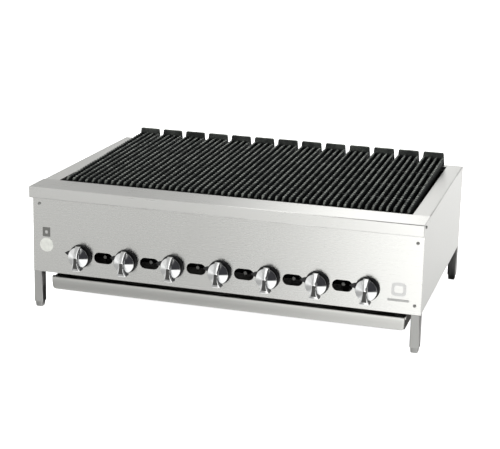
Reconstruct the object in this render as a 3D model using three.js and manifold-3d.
// Countertop gas charbroiler, 42 inches wide: a stainless body on four short legs, seven burners
// with radiants, thirteen sloped cast-iron grates and a full-width grease drawer.
// Millimetres, +Z up, +Y towards the back. The origin is on the ground, under the middle of the box.
import * as THREE from 'three';
import { mergeVertices } from 'three/addons/utils/BufferGeometryUtils.js';
import Module from 'manifold-3d';

const wasm = await Module();
wasm.setup();

// ---------------------------------------------------------------- driving dimensions
const bodyWidth = 1067;
const bodyDepth = 670;
const legHeight = 103;
const rimTop = 344;
const sheet = 1.5;
const gap = 0.3;
const knobReach = 41;
const inletReach = 20;

const ledge = { overhang: 20, depth: 72, fascia: 32, nose: 9, lip: 26, capFoot: 15 };
const sideRim = { width: 47, lip: 26, bend: 6 };
const rearRim = { width: 28, lip: 26 };
const flange = 25;
const panelReturn = 20;

const burnerCount = 7;
const burnerPitch = 131;
const controlZ = 159;
const portSize = { width: 54, height: 30 };
const stemHole = 7;

const grateCount = 13;
const gratePitch = 74;
const bar = { count: 4, pitch: 18.5, width: 6 };
// Each grate's bars are notched at the back, where they reach over the rear rim.
const grate = { front: 88, rear: 655, frontTop: 350, rearTop: 368, depth: 28, nose: 13, notchStart: 639.5 };
const grateTab = { bottomWidth: 62, topWidth: 60, chamfer: 4, thickness: 8, top: 381.5 };
const grateRib = { places: [205, 345, 485], thickness: 5, belowTop: 7, aboveBottom: 4 };

const firebox = {
  halfWidth: 484, front: 75, rear: 638.5, bottom: 140, top: 330, frontTop: 320, shelfDepth: 18,
  flangeInset: 8, flangeRise: 2, burnerHoleRadius: 18, pinHoleRadius: 7, pilotHoleRadius: 5,
};
const restBar = { frontTop: 321.6, rearTop: 338.4, width: 20, drop: 16, thickness: 2 };
const radiant = { halfWidth: 42, rise: 36, thickness: 2.2, ridge: 6, foot: 230, front: 78, rear: 636 };
const burner = { z: 205, radius: 16, bore: 13, wall: 2, mouth: 50, mouthRadius: 21, rear: 610, pinRadius: 5 };
const mixer = { throat: 45, end: 70 };
const flameSlot = { count: 4, start: 128, length: 112, pitch: 122, halfWidth: 2 };
const valve = {
  bodyRadius: 12, bodyFront: 11, bodyRear: 34, neckRadius: 8, neckFront: 30, riserRadius: 6, riserY: 24,
  hoodRadius: 7.5, hoodFront: 18, stemBoreRadius: 5, stemBoreDepth: 25,
};
const manifold = {
  y: 52, radius: 13.35, capReach: 40, inletX: 509, inletBoreRadius: 10.4, inletBoreDepth: 30,
  elbowRadius: 16.5, elbowReach: 24,
};
const pilot = {
  bodyRadius: 6, front: 13, riserRadius: 3.6, riserY: 26, tubeRadius: 3, tubeFront: 24, tipY: 112, tubeZ: 214,
};
const underframe = {
  frontBar: 58, rearBar: 27, runnerStart: 130, runnerClearance: 3, runnerShelf: 10, saddleHalf: 9, saddleBack: 8,
};

const drawer = { halfWidth: 488, front: 32, rear: 640, bottom: 50, top: 82, wall: 1.2 };
const drawerFront = { halfWidth: 490.5, bottom: 48, top: 84.5, bulge: 11, thickness: 3 };
const leg = { side: 25, wall: 1.5, bottom: 15, plug: 4 };
const foot = { topSide: 21, bottomSide: 16, studRadius: 5, studTop: 52, clearance: 0.4 };
const knob = { stemRadius: 4.5, stemEnd: 22, gripHalf: 5, gripBottom: -32, gripTop: 31, skirtFront: -13 };

// How far a cutting tool reaches past the faces that it cuts through.
const past = 5;

const halfWidth = bodyWidth / 2;
// Distances from front to back are counted from the control panel's face.
const panelFace = (knobReach - bodyDepth - inletReach) / 2;
// The outer skin stands inside the ledge's end caps by one sheet and a seam.
const skinX = halfWidth - sheet - gap;

// ---------------------------------------------------------------- materials
function metal(color, roughness, metalness = 1) {
  return new THREE.MeshStandardMaterial({ color, roughness, metalness });
}
const stainless = () => metal(0xc3c4bf, 0.35);
const darkSteel = () => metal(0x6f7070, 0.5);
const castIron = () => metal(0x1d2021, 0.75, 0.6);
const chrome = () => metal(0xe4e6e8, 0.08);
const brass = () => metal(0xb08d4a, 0.35);
const pipeIron = () => metal(0x3a3b3c, 0.6, 0.8);
const footMetal = () => metal(0x8c8d8b, 0.45);

// ---------------------------------------------------------------- solids
// Coordinates are kept to a hundredth of a millimetre, so faces meant to be flush are flush.
function solidOf(geometry) {
  const bare = geometry.clone();
  bare.deleteAttribute('normal');
  bare.deleteAttribute('uv');
  const { array } = bare.attributes.position;
  array.forEach((value, index) => {
    array[index] = Math.round(value * 100) / 100;
  });
  const merged = mergeVertices(bare, 1e-4);
  return new wasm.Manifold(new wasm.Mesh({
    numProp: 3,
    vertProperties: new Float32Array(merged.attributes.position.array),
    triVerts: new Uint32Array(merged.index.array),
  }));
}

function geometryOf(solid) {
  const mesh = solid.getMesh();
  const geometry = new THREE.BufferGeometry();
  geometry.setAttribute('position', new THREE.BufferAttribute(mesh.vertProperties, 3));
  geometry.setIndex(new THREE.BufferAttribute(mesh.triVerts, 1));
  geometry.computeVertexNormals();
  return geometry;
}

const join = (...solids) => solids.reduce((sum, next) => sum.add(next));
const cut = (solid, ...tools) => tools.reduce((rest, tool) => rest.subtract(tool), solid);

function slab(x, y, z) {
  const geometry = new THREE.BoxGeometry(x[1] - x[0], y[1] - y[0], z[1] - z[0]);
  geometry.translate((x[0] + x[1]) / 2, (y[0] + y[1]) / 2, (z[0] + z[1]) / 2);
  return solidOf(geometry);
}

// A pair of pieces, one on each side of the middle plane.
function bothSides(makeSide) {
  return join(makeSide(1), makeSide(-1));
}

const ordered = (a, b) => [Math.min(a, b), Math.max(a, b)];
const span = (side, a, b) => ordered(side * a, side * b);

function shapeOf(points) {
  return new THREE.Shape(points.map(([u, v]) => new THREE.Vector2(u, v)));
}

function prism(shape, length, curveSegments = 6) {
  return new THREE.ExtrudeGeometry(shape, { depth: length, bevelEnabled: false, curveSegments, steps: 1 });
}

// A section drawn in Y and Z, running along X.
function alongX(shape, x, curveSegments) {
  const geometry = prism(shape, x[1] - x[0], curveSegments);
  const turn = new THREE.Matrix4().makeBasis(
    new THREE.Vector3(0, 1, 0), new THREE.Vector3(0, 0, 1), new THREE.Vector3(1, 0, 0));
  return solidOf(geometry.applyMatrix4(turn).translate(x[0], 0, 0));
}

// A section drawn in X and Z, running along Y.
function alongY(shape, y, curveSegments) {
  const geometry = prism(shape, y[1] - y[0], curveSegments);
  return solidOf(geometry.rotateX(Math.PI / 2).translate(0, y[1], 0));
}

// A turned piece whose axis lies along Y: the profile holds pairs of radius and distance.
function turnedAlongY(profile, sides) {
  const points = profile.map(([radius, y]) => new THREE.Vector2(radius, y));
  return solidOf(new THREE.LatheGeometry(points, sides));
}

function rodAlong(axis, radius, from, to, at, sides = 12) {
  const geometry = new THREE.CylinderGeometry(radius, radius, to - from, sides);
  const middle = (from + to) / 2;
  if (axis === 'x') geometry.rotateZ(Math.PI / 2).translate(middle, at[0], at[1]);
  if (axis === 'y') geometry.translate(at[0], middle, at[1]);
  if (axis === 'z') geometry.rotateX(Math.PI / 2).translate(at[0], at[1], middle);
  return solidOf(geometry);
}

// ---------------------------------------------------------------- assembly
const grill = new THREE.Group();
const body = new THREE.Group();
body.position.y = panelFace;
grill.add(body);

function place(name, solid, material, x = 0, y = 0, z = 0) {
  const mesh = new THREE.Mesh(geometryOf(solid), material);
  mesh.name = name;
  mesh.position.set(x, y, z);
  body.add(mesh);
}

const burnerX = (index) => (index - (burnerCount - 1) / 2) * burnerPitch;
const portX = (index) => burnerX(index) + burnerPitch / 2;

// ---------------------------------------------------------------- outer sheet metal
// The front ledge: a flat shelf with a rounded nose, a fascia below it, a return to the panel,
// and a lip turned down at the grate opening.
function ledgeShape() {
  const { overhang, depth, fascia, nose, lip } = ledge;
  const bottom = rimTop - fascia;
  const shape = new THREE.Shape();
  shape.moveTo(depth, rimTop - lip);
  shape.lineTo(depth, rimTop);
  shape.lineTo(-overhang + nose, rimTop);
  shape.absarc(-overhang + nose, rimTop - nose, nose, Math.PI / 2, Math.PI, false);
  shape.lineTo(-overhang, bottom);
  shape.lineTo(-gap, bottom);
  shape.lineTo(-gap, bottom + sheet);
  shape.lineTo(-overhang + sheet, bottom + sheet);
  shape.lineTo(-overhang + sheet, rimTop - nose);
  shape.absarc(-overhang + nose, rimTop - nose, nose - sheet, Math.PI, Math.PI / 2, true);
  shape.lineTo(depth - sheet, rimTop - sheet);
  shape.lineTo(depth - sheet, rimTop - lip);
  shape.closePath();
  return shape;
}

// The cap that closes each end of the ledge and tapers back over the side panel.
function ledgeCapShape() {
  const { overhang, depth, fascia, nose, capFoot } = ledge;
  const shape = new THREE.Shape();
  shape.moveTo(depth, rimTop);
  shape.lineTo(-overhang + nose, rimTop);
  shape.absarc(-overhang + nose, rimTop - nose, nose, Math.PI / 2, Math.PI, false);
  shape.lineTo(-overhang, rimTop - fascia);
  shape.lineTo(capFoot - overhang, rimTop - fascia);
  shape.lineTo(depth, rimTop - nose);
  shape.closePath();
  return shape;
}

function frontLedge() {
  const trough = alongX(ledgeShape(), [-halfWidth + sheet, halfWidth - sheet], 4);
  const inner = sideRim.width + gap;
  // The lip stops at the opening, so the side rims' own lips can pass behind it.
  const lipEnds = bothSides((side) => slab(
    span(side, halfWidth - inner, halfWidth), [ledge.depth - 2 * sheet, ledge.depth + 1],
    [rimTop - ledge.lip - 1, rimTop - sheet]));
  const caps = bothSides((side) => alongX(ledgeCapShape(), span(side, halfWidth - sheet, halfWidth), 4));
  return join(cut(trough, lipEnds), caps);
}

// One side: outer wall, top folded in as the side rim with a lip, and flanges for the
// control panel and the legs.
function sidePanel(side) {
  const outer = skinX;
  const opening = halfWidth - sideRim.width;
  const rimStart = ledge.depth + gap;
  const rim = new THREE.Shape();
  rim.moveTo(outer, legHeight);
  rim.lineTo(outer, rimTop - sideRim.bend);
  rim.absarc(outer - sideRim.bend, rimTop - sideRim.bend, sideRim.bend, 0, Math.PI / 2, false);
  rim.lineTo(opening, rimTop);
  rim.lineTo(opening, rimTop - sideRim.lip);
  rim.lineTo(opening + sheet, rimTop - sideRim.lip);
  rim.lineTo(opening + sheet, rimTop - sheet);
  rim.lineTo(outer - sideRim.bend, rimTop - sheet);
  rim.absarc(outer - sideRim.bend, rimTop - sideRim.bend, sideRim.bend - sheet, Math.PI / 2, 0, true);
  rim.lineTo(outer - sheet, legHeight + sheet);
  rim.lineTo(outer - flange, legHeight + sheet);
  rim.lineTo(outer - flange, legHeight);
  rim.closePath();
  const wallTop = rimTop - sheet - gap;
  const panel = join(
    alongY(rim, [rimStart, bodyDepth], 3),
    slab([outer - sheet, outer], [sheet + gap, rimStart], [legHeight, wallTop]),
    slab([outer - flange, outer], [sheet + gap, rimStart], [legHeight, legHeight + sheet]),
    slab([outer - flange, outer], [sheet + gap, 2 * sheet + gap], [legHeight, wallTop]),
  );
  return side > 0 ? panel : panel.mirror([1, 0, 0]);
}

function obround(centreX, width, height, y) {
  const reach = (width - height) / 2;
  const shape = new THREE.Shape();
  shape.absarc(centreX + reach, controlZ, height / 2, -Math.PI / 2, Math.PI / 2, false);
  shape.absarc(centreX - reach, controlZ, height / 2, Math.PI / 2, 1.5 * Math.PI, false);
  shape.closePath();
  return alongY(shape, y, 5);
}

function controlPanel() {
  const top = rimTop - 4 * sheet;
  const returnX = skinX - flange - gap;
  const plate = join(
    slab([-skinX, skinX], [0, sheet], [legHeight, top]),
    slab([-returnX, returnX], [0, panelReturn], [top - sheet, top]),
    slab([-returnX, returnX], [0, panelReturn], [legHeight, legHeight + sheet]),
  );
  const through = [-past, past];
  const ports = [...Array(burnerCount - 1).keys()].map(
    (index) => obround(portX(index), portSize.width, portSize.height, through));
  const holes = [...Array(burnerCount).keys()].map(
    (index) => rodAlong('y', stemHole, ...through, [burnerX(index), controlZ], 8));
  return cut(plate, ...ports, ...holes);
}

function rearPanel() {
  const wallX = skinX - sheet - gap;
  const rimX = halfWidth - sideRim.width - gap;
  const back = bodyDepth;
  const panel = join(
    slab([-wallX, wallX], [back - sheet, back], [legHeight + sheet + gap, rimTop - sideRim.bend - gap]),
    slab([sideRim.bend - wallX, wallX - sideRim.bend], [back - sheet, back],
      [legHeight + sheet + gap, rimTop - sheet - gap]),
    slab([-rimX, rimX], [back - sheet, back], [rimTop - 2 * sheet, rimTop]),
    slab([-rimX, rimX], [back - rearRim.width, back], [rimTop - sheet, rimTop]),
    slab([-rimX, rimX], [back - rearRim.width, back - rearRim.width + sheet],
      [rimTop - rearRim.lip, rimTop]),
  );
  const inletHole = rodAlong('y', manifold.radius + 3, back - past, back + past, [manifold.inletX, controlZ], 16);
  const lipSlots = bothSides((side) => slab(
    span(side, rimX, rimX + sheet + 2 * gap), [back - past, back + past], [rimTop - sideRim.lip - gap, rimTop + past]));
  return cut(panel, inletHole, lipSlots);
}

// The frame under the body: a ring on the side flanges, runners for the drawer, and two
// saddles that carry the gas manifold.
function baseFrame() {
  const outerX = skinX - sheet - gap;
  const innerX = drawer.halfWidth;
  const z = [legHeight + sheet + gap, legHeight + 2 * sheet + gap];
  const front = 2 * sheet + 2 * gap;
  const rear = bodyDepth - sheet - gap;
  const ring = join(
    slab([-outerX, outerX], [front, front + underframe.frontBar], z),
    slab([-outerX, outerX], [rear - underframe.rearBar, rear], z),
    bothSides((side) => slab(span(side, innerX, outerX), [front, rear], z)),
  );
  const runnerX = drawer.halfWidth + underframe.runnerClearance;
  const runnerY = [underframe.runnerStart, drawer.rear];
  const shelfTop = drawer.bottom - gap;
  const runner = (side) => join(
    slab(span(side, runnerX, runnerX + sheet), runnerY, [shelfTop - sheet, z[1]]),
    slab(span(side, runnerX - underframe.runnerShelf, runnerX + sheet), runnerY, [shelfTop - sheet, shelfTop]),
  );
  const { saddleHalf, saddleBack } = underframe;
  const saddleX = portX(burnerCount - 2);
  const saddleTop = controlZ - manifold.radius - gap;
  const saddle = (side) => {
    const x = span(side, saddleX - saddleHalf, saddleX + saddleHalf);
    const y = manifold.y - saddleBack;
    return join(
      slab(x, [y, y + sheet], [z[0], saddleTop]),
      slab(x, [y, manifold.y + saddleBack], [saddleTop - sheet, saddleTop]),
    );
  };
  return join(ring, bothSides(runner), bothSides(saddle));
}

// ---------------------------------------------------------------- firebox
function fireboxLiner() {
  const { halfWidth: x, front, rear, bottom, top, frontTop, shelfDepth } = firebox;
  const inside = sheet / 2;
  const flangeX = skinX - sheet - gap;
  const shelf = radiant.foot - gap;
  const shell = cut(
    slab([-x, x], [front, rear], [bottom, top]),
    slab([sheet - x, x - sheet], [front + sheet, rear - sheet], [bottom - past, top + past]),
    slab([sheet - x, x - sheet], [front - past, front + past], [frontTop, top + past]),
  );
  const flangeY = [front + firebox.flangeInset, rear - firebox.flangeInset];
  const flangeZ = bottom + firebox.flangeRise;
  const walls = join(
    shell,
    bothSides((side) => slab(span(side, x - inside, flangeX), flangeY, [flangeZ, flangeZ + sheet])),
    slab([inside - x, x - inside], [front + inside, front + shelfDepth], [shelf - sheet, shelf]),
    slab([inside - x, x - inside], [rear - shelfDepth, rear - inside], [shelf - sheet, shelf]),
  );
  const holes = [];
  for (let index = 0; index < burnerCount; index += 1) {
    const at = [burnerX(index), burner.z];
    holes.push(rodAlong('y', firebox.burnerHoleRadius, front - past, front + past, at, 10));
    holes.push(rodAlong('y', firebox.pinHoleRadius, rear - past, rear + past, at, 6));
  }
  for (let index = 0; index < burnerCount - 1; index += 1) {
    const at = [portX(index), pilot.tubeZ];
    holes.push(rodAlong('y', firebox.pilotHoleRadius, front - past, front + past, at, 6));
  }
  return cut(walls, ...holes);
}

// Angle bars that the grates stand on: a flat top and a leg turned down at the firebox wall.
function grateRest(wallY, inward, top) {
  const x = firebox.halfWidth - sheet - gap;
  const { width, drop, thickness } = restBar;
  return join(
    slab([-x, x], ordered(wallY, wallY + inward * width), [top - thickness, top]),
    slab([-x, x], ordered(wallY, wallY + inward * thickness), [top - drop, top]),
  );
}

function radiantCover() {
  const { halfWidth: x, rise, thickness, ridge, foot: z, front, rear } = radiant;
  const shape = shapeOf([
    [-x, z], [-x + thickness * 1.3, z], [-ridge + 1, z + rise - thickness],
    [ridge - 1, z + rise - thickness], [x - thickness * 1.3, z], [x, z],
    [ridge, z + rise], [-ridge, z + rise],
  ]);
  return alongY(shape, [front, rear]);
}

// A tube burner with an open mixer mouth in front, a closed rear end on a pin, and flame slots.
function burnerTube() {
  const { radius, bore, wall, mouth, mouthRadius, rear, pinRadius } = burner;
  const throat = mouth + mixer.throat;
  const straight = mouth + mixer.end;
  const inner = rear - 2 * wall;
  const profile = [
    [0, rear], [radius, rear], [radius, straight], [radius - wall, throat], [mouthRadius, mouth],
    [mouthRadius - wall, mouth], [bore - wall, throat], [bore, straight], [bore, inner], [0, inner],
  ];
  const slots = [];
  for (let index = 0; index < flameSlot.count; index += 1) {
    const start = flameSlot.start + index * flameSlot.pitch;
    slots.push(slab([-flameSlot.halfWidth, flameSlot.halfWidth], [start, start + flameSlot.length],
      [bore / 2, radius + past]));
  }
  const pin = rodAlong('y', pinRadius, rear - wall, firebox.rear + 2 * sheet, [0, 0], 8);
  return join(cut(turnedAlongY(profile.reverse(), 10), ...slots), pin);
}

// ---------------------------------------------------------------- gas train
function gasValve() {
  const hoodZ = burner.z - controlZ;
  const inletEnd = manifold.y - manifold.radius - gap;
  const casing = join(
    rodAlong('y', valve.bodyRadius, valve.bodyFront, valve.bodyRear, [0, 0], 10),
    rodAlong('y', valve.neckRadius, valve.neckFront, inletEnd, [0, 0], 6),
    rodAlong('z', valve.riserRadius, 0, hoodZ, [0, valve.riserY], 6),
    rodAlong('y', valve.hoodRadius, valve.hoodFront, burner.mouth - 2 * sheet, [0, hoodZ], 6),
  );
  return cut(casing, rodAlong('y', valve.stemBoreRadius, 0, valve.stemBoreDepth, [0, 0], 8));
}

// The manifold: the pipe behind the valves, its run along the right side to the inlet at the
// back, and a pilot valve with its tube behind each lighting port.
function gasManifold() {
  const { y, radius, inletX, inletBoreRadius, elbowRadius, elbowReach } = manifold;
  const leftEnd = burnerX(0) - manifold.capReach;
  const elbow = new THREE.SphereGeometry(elbowRadius, 12, 6).translate(inletX, y, controlZ);
  const pieces = [
    rodAlong('x', radius, leftEnd, inletX, [y, controlZ]),
    rodAlong('y', radius, y, bodyDepth + inletReach, [inletX, controlZ]),
    rodAlong('x', elbowRadius, inletX - elbowReach, inletX, [y, controlZ]),
    rodAlong('y', elbowRadius, y, y + elbowReach, [inletX, controlZ]),
    solidOf(elbow),
  ];
  for (let index = 0; index < burnerCount - 1; index += 1) {
    const x = portX(index);
    pieces.push(rodAlong('y', pilot.bodyRadius, pilot.front, y, [x, controlZ], 6));
    pieces.push(rodAlong('z', pilot.riserRadius, controlZ, pilot.tubeZ + sheet, [x, pilot.riserY], 5));
    pieces.push(rodAlong('y', pilot.tubeRadius, pilot.tubeFront, pilot.tipY, [x, pilot.tubeZ], 5));
  }
  const inletEnd = bodyDepth + inletReach;
  const boreStart = inletEnd - manifold.inletBoreDepth;
  const inletBore = rodAlong('y', inletBoreRadius, boreStart, inletEnd + past, [inletX, controlZ], 10);
  return cut(join(...pieces), inletBore);
}

// ---------------------------------------------------------------- knobs
// A domed skirt on a hub, a grip bar across it whose lower end flares, and the stem behind.
function knobSolid() {
  const skirt = turnedAlongY([
    [0, -24.5], [14, -23.5], [26, -19], [31, -15], [31, -12.5], [29, -11], [12, -11], [12, -3], [0, -3],
  ], 20);
  const { gripHalf, gripBottom, gripTop, skirtFront, stemRadius, stemEnd } = knob;
  const grip = new THREE.Shape();
  grip.moveTo(skirtFront, gripBottom);
  grip.lineTo(-36, gripBottom);
  grip.quadraticCurveTo(-knobReach, -30, -knobReach, -22);
  grip.lineTo(-knobReach + 1, -6);
  grip.quadraticCurveTo(-knobReach + 1, 22, skirtFront, gripTop);
  grip.closePath();
  const flare = shapeOf([[-11, -33], [11, -33], [gripHalf, -12], [-gripHalf, -12]]);
  return join(
    skirt,
    alongX(grip, [-gripHalf, gripHalf], 4),
    alongY(flare, [-34, skirtFront]),
    rodAlong('y', stemRadius, -5, stemEnd, [0, 0], 8),
  );
}

// ---------------------------------------------------------------- grates
function grateSolid() {
  const { front, rear, frontTop, rearTop, depth, nose, notchStart } = grate;
  const slope = (rearTop - frontTop) / (rear - front);
  const topAt = (y) => frontTop + slope * (y - front);
  const bottomAt = (y) => topAt(y) - depth;
  const side = new THREE.Shape();
  side.moveTo(front, bottomAt(front));
  side.lineTo(notchStart, bottomAt(notchStart));
  side.lineTo(notchStart, rimTop + 2 * gap);
  side.lineTo(rear, rimTop + 2 * gap);
  side.lineTo(rear, topAt(rear));
  side.lineTo(front + nose, topAt(front + nose));
  side.quadraticCurveTo(front, topAt(front), front, topAt(front) - nose);
  side.closePath();
  const reach = (bar.count - 1) * bar.pitch / 2;
  const pieces = [];
  for (let index = 0; index < bar.count; index += 1) {
    const x = index * bar.pitch - reach;
    pieces.push(alongX(side, [x - bar.width / 2, x + bar.width / 2], 3));
  }
  for (const y of grateRib.places) {
    pieces.push(slab([-reach, reach], [y, y + grateRib.thickness],
      [bottomAt(y) + grateRib.aboveBottom, topAt(y) - grateRib.belowTop]));
  }
  const { bottomWidth, topWidth, chamfer, thickness, top } = grateTab;
  const [low, high] = [bottomWidth / 2, topWidth / 2];
  const tab = shapeOf([
    [-low, rimTop + gap], [low, rimTop + gap], [high, top - chamfer],
    [high - chamfer, top], [chamfer - high, top], [-high, top - chamfer],
  ]);
  pieces.push(alongY(tab, [rear - gap, rear - gap + thickness]));
  return join(...pieces);
}

// ---------------------------------------------------------------- drawer, legs and feet
function greaseDrawer() {
  const { halfWidth: x, front, rear, bottom, top, wall } = drawer;
  const { halfWidth: faceX, bulge, thickness, bottom: low, top: high } = drawerFront;
  const back = front + thickness;
  const tray = cut(
    slab([-x, x], [front, rear], [bottom, top]),
    slab([-x + wall, x - wall], [back, rear - wall], [bottom + wall, top + past]),
  );
  const face = new THREE.Shape();
  face.moveTo(back, low + 2);
  face.lineTo(back, high);
  face.lineTo(front - 2, high);
  face.quadraticCurveTo(front - bulge, high - 1, front - bulge, (low + high) / 2 + 4);
  face.quadraticCurveTo(front - bulge, low, front - 3, low);
  face.closePath();
  return join(tray, alongX(face, [-faceX, faceX], 5));
}

function legTube() {
  const { side, wall, bottom, plug } = leg;
  const half = side / 2;
  const top = legHeight - gap;
  const tube = slab([-half, half], [-half, half], [bottom, top]);
  const bore = slab([-half + wall, half - wall], [-half + wall, half - wall], [bottom + plug, top - wall]);
  return cut(tube, bore, rodAlong('z', foot.studRadius + foot.clearance, 0, bottom + plug + 1, [0, 0], 12));
}

function footSolid() {
  const { topSide, bottomSide, studRadius, studTop } = foot;
  const top = leg.bottom - gap;
  const radius = (size) => size / Math.SQRT2;
  const pad = new THREE.CylinderGeometry(radius(topSide), radius(bottomSide), top, 4);
  pad.rotateY(Math.PI / 4).rotateX(Math.PI / 2).translate(0, 0, top / 2);
  return join(solidOf(pad), rodAlong('z', studRadius, top - 1, studTop, [0, 0], 12));
}

// ---------------------------------------------------------------- the whole grill
place('control_panel', controlPanel(), stainless());
place('front_ledge', frontLedge(), stainless());
place('side_panel_left', sidePanel(-1), stainless());
place('side_panel_right', sidePanel(1), stainless());
place('rear_panel', rearPanel(), stainless());
place('base_frame', baseFrame(), stainless());
place('firebox_liner', fireboxLiner(), darkSteel());
place('grate_rest_front', grateRest(firebox.front + sheet + gap, 1, restBar.frontTop), darkSteel());
place('grate_rest_rear', grateRest(firebox.rear - sheet - gap, -1, restBar.rearTop), darkSteel());
place('gas_manifold', gasManifold(), pipeIron());

for (let index = 0; index < burnerCount; index += 1) {
  const x = burnerX(index);
  place(`burner_${index + 1}`, burnerTube(), castIron(), x, 0, burner.z);
  place(`radiant_${index + 1}`, radiantCover(), castIron(), x);
  place(`gas_valve_${index + 1}`, gasValve(), brass(), x, 0, controlZ);
  place(`knob_${index + 1}`, knobSolid(), chrome(), x, 0, controlZ);
}

for (let index = 0; index < grateCount; index += 1) {
  const number = String(index + 1).padStart(2, '0');
  place(`grate_${number}`, grateSolid(), castIron(), (index - (grateCount - 1) / 2) * gratePitch);
}

place('grease_drawer', greaseDrawer(), stainless());

const corner = { x: skinX - leg.side / 2, front: leg.side / 2, rear: bodyDepth - leg.side / 2 };
for (const [name, x, y] of [
  ['front_left', -corner.x, corner.front],
  ['front_right', corner.x, corner.front],
  ['rear_left', -corner.x, corner.rear],
  ['rear_right', corner.x, corner.rear],
]) {
  place(`leg_${name}`, legTube(), stainless(), x, y);
  place(`foot_${name}`, footSolid(), footMetal(), x, y);
}

export default grill;
